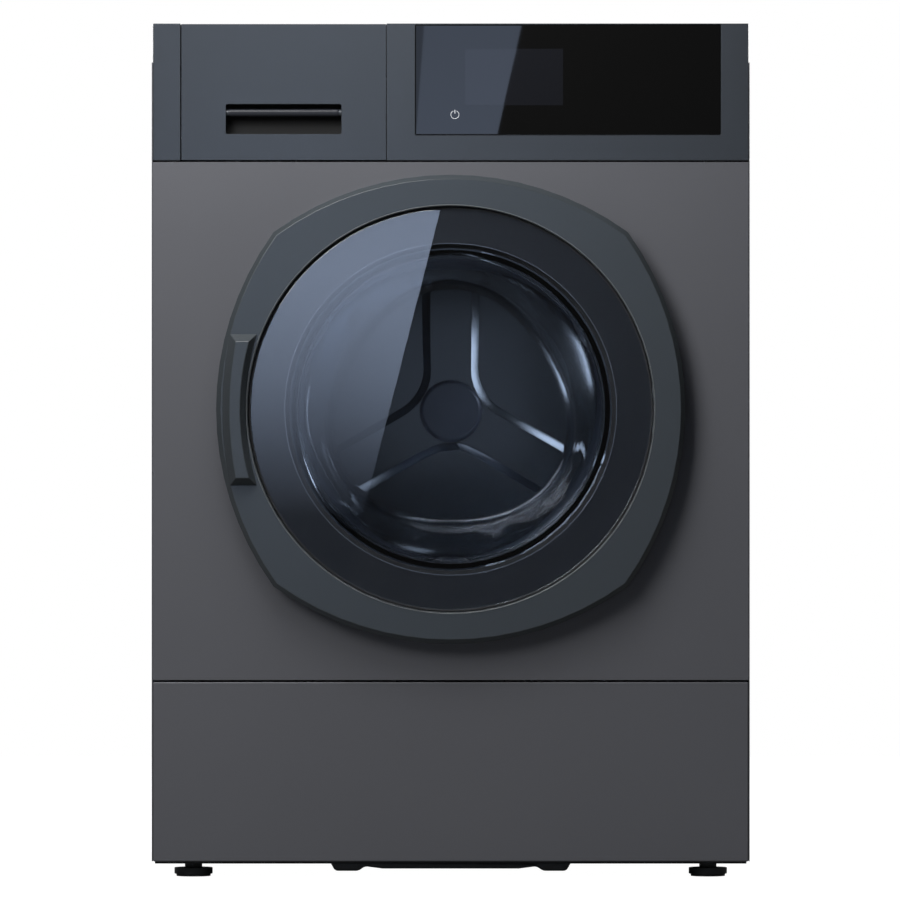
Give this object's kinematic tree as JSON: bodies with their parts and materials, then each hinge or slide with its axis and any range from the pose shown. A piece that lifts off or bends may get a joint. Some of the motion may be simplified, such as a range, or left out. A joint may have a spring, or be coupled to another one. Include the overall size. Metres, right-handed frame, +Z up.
{
  "type": "washing machine",
  "caption": "Front-loading washing machine with hinged glass-bowl door, detergent drawer, sprung tub, belt-driven drum and adjustable feet.",
  "frame": {"origin": "on the floor under the middle of the machine's whole box, door grip included", "axes": "+Z up, -Y out of the front, +X to the right as seen from the front"},
  "size_m": [0.595, 0.69, 0.85],
  "materials": {
    "graphite_panel": "satin anodised-look coat",
    "graphite_fascia": "satin",
    "door_graphite": "satin",
    "smoked_glass": "polished, dark",
    "clear_glass": "polished",
    "worktop_plastic": "satin, coated to match the cabinet",
    "black_plastic": "fine grain",
    "dark_plastic": "satin",
    "white_plastic": "satin",
    "tub_plastic": "filled polypropylene",
    "zinc": "zinc coated sheet",
    "stainless": "brushed",
    "cast_aluminium": "as cast",
    "rubber": "matt",
    "concrete": "cast, rough"
  },
  "bodies": {
    "root": {"side_panel_left": "graphite_panel", "side_panel_right": "graphite_panel", "top_cover": "worktop_plastic", "front_panel": "graphite_panel", "rear_panel": "zinc", "rear_cover": "zinc", "cross_brace": "zinc", "base_pan": "zinc", "base_skids": "black_plastic", "fascia_filler": "graphite_fascia", "control_fascia": "graphite_fascia", "display_glass": "smoked_glass", "display_module": "black_plastic", "dispenser_housing": "tub_plastic", "inlet_valve": "white_plastic", "inlet_hose": "rubber", "dispenser_hose": "rubber", "door_gasket": "rubber", "door_lock": "black_plastic", "hinge_bracket": "zinc", "drain_pump": "white_plastic", "sump_hose": "rubber", "suspension_spring_left": "stainless", "suspension_spring_right": "stainless", "damper_cylinder_left": "black_plastic", "damper_cylinder_right": "black_plastic", "mains_gland": "black_plastic"},
    "door": {"door_ring": "door_graphite", "door_handle": "door_graphite", "door_glass": "smoked_glass", "door_bowl": "clear_glass", "door_inner_frame": "black_plastic", "hinge_leaf": "zinc"},
    "latch": {"latch_hook": "stainless"},
    "drawer": {"drawer_front": "graphite_fascia", "drawer_tray": "white_plastic", "siphon_cap": "dark_plastic"},
    "kick": {"kick_panel": "graphite_panel"},
    "filter": {"pump_filter": "dark_plastic"},
    "tub": {"tub_front": "tub_plastic", "tub_rear": "tub_plastic", "front_counterweight": "concrete", "top_counterweight": "concrete", "bearing_sleeve": "stainless", "heater": "stainless", "motor_housing": "cast_aluminium", "drive_belt": "rubber", "damper_rod_left": "stainless", "damper_rod_right": "stainless", "gasket_clamp": "stainless"},
    "drum": {"drum_shell": "stainless", "drum_back": "stainless", "hub_cap": "black_plastic", "drum_spider": "cast_aluminium", "drum_pulley": "cast_aluminium"},
    "rotor": {"motor_pulley": "stainless"},
    "foot_fl": {"foot_front_left": "black_plastic"},
    "foot_fr": {"foot_front_right": "black_plastic"},
    "foot_rl": {"foot_rear_left": "black_plastic"},
    "foot_rr": {"foot_rear_right": "black_plastic"}
  },
  "joints": [
    {"name": "door_hinge", "type": "hinge", "parent": "root", "child": "door", "pos_m": [0.222, -0.3215, 0.466], "axis": [0, 0, 1], "range_deg": [0, 150]},
    {"name": "latch_pivot", "type": "hinge", "parent": "door", "child": "latch", "pos_m": [-0.19, -0.3125, 0.466], "axis": [0, 0, -1], "range_deg": [0, 10], "stiffness_Nm_per_rad": 0.4},
    {"name": "drawer_slide", "type": "slide", "parent": "root", "child": "drawer", "axis": [0, -1, 0], "range_m": [0, 0.17]},
    {"name": "kick_flap", "type": "hinge", "parent": "root", "child": "kick", "pos_m": [0, -0.295, 0.0221], "axis": [1, 0, 0], "range_deg": [0, 90]},
    {"name": "filter_turn", "type": "hinge", "parent": "root", "child": "filter", "pos_m": [0.062, -0.275, 0.1], "axis": [0, 1, 0], "range_deg": [0, 90]},
    {"name": "tub_float", "type": "slide", "parent": "root", "child": "tub", "axis": [0, 0, 1], "range_m": [-0.008, 0.008], "stiffness_N_per_m": 20000, "springref_m": 0.0196, "deforming": ["suspension_spring_left", "suspension_spring_right", "door_gasket", "dispenser_hose", "sump_hose"]},
    {"name": "drum_spin", "type": "hinge", "parent": "tub", "child": "drum", "pos_m": [0, 0, 0.466], "axis": [0, 1, 0], "continuous": true},
    {"name": "motor_spin", "type": "hinge", "parent": "tub", "child": "rotor", "pos_m": [0.14, 0, 0.15], "axis": [0, 1, 0], "continuous": true},
    {"name": "levelling_fl", "type": "slide", "parent": "root", "child": "foot_fl", "axis": [0, 0, -1], "range_m": [0, 0.015]},
    {"name": "levelling_fr", "type": "slide", "parent": "root", "child": "foot_fr", "axis": [0, 0, -1], "range_m": [0, 0.015]},
    {"name": "levelling_rl", "type": "slide", "parent": "root", "child": "foot_rl", "axis": [0, 0, -1], "range_m": [0, 0.015]},
    {"name": "levelling_rr", "type": "slide", "parent": "root", "child": "foot_rr", "axis": [0, 0, -1], "range_m": [0, 0.015]}
  ],
  "couplings": [
    {"joint": "motor_spin", "follows": "drum_spin", "ratio": 10.714}
  ]
}
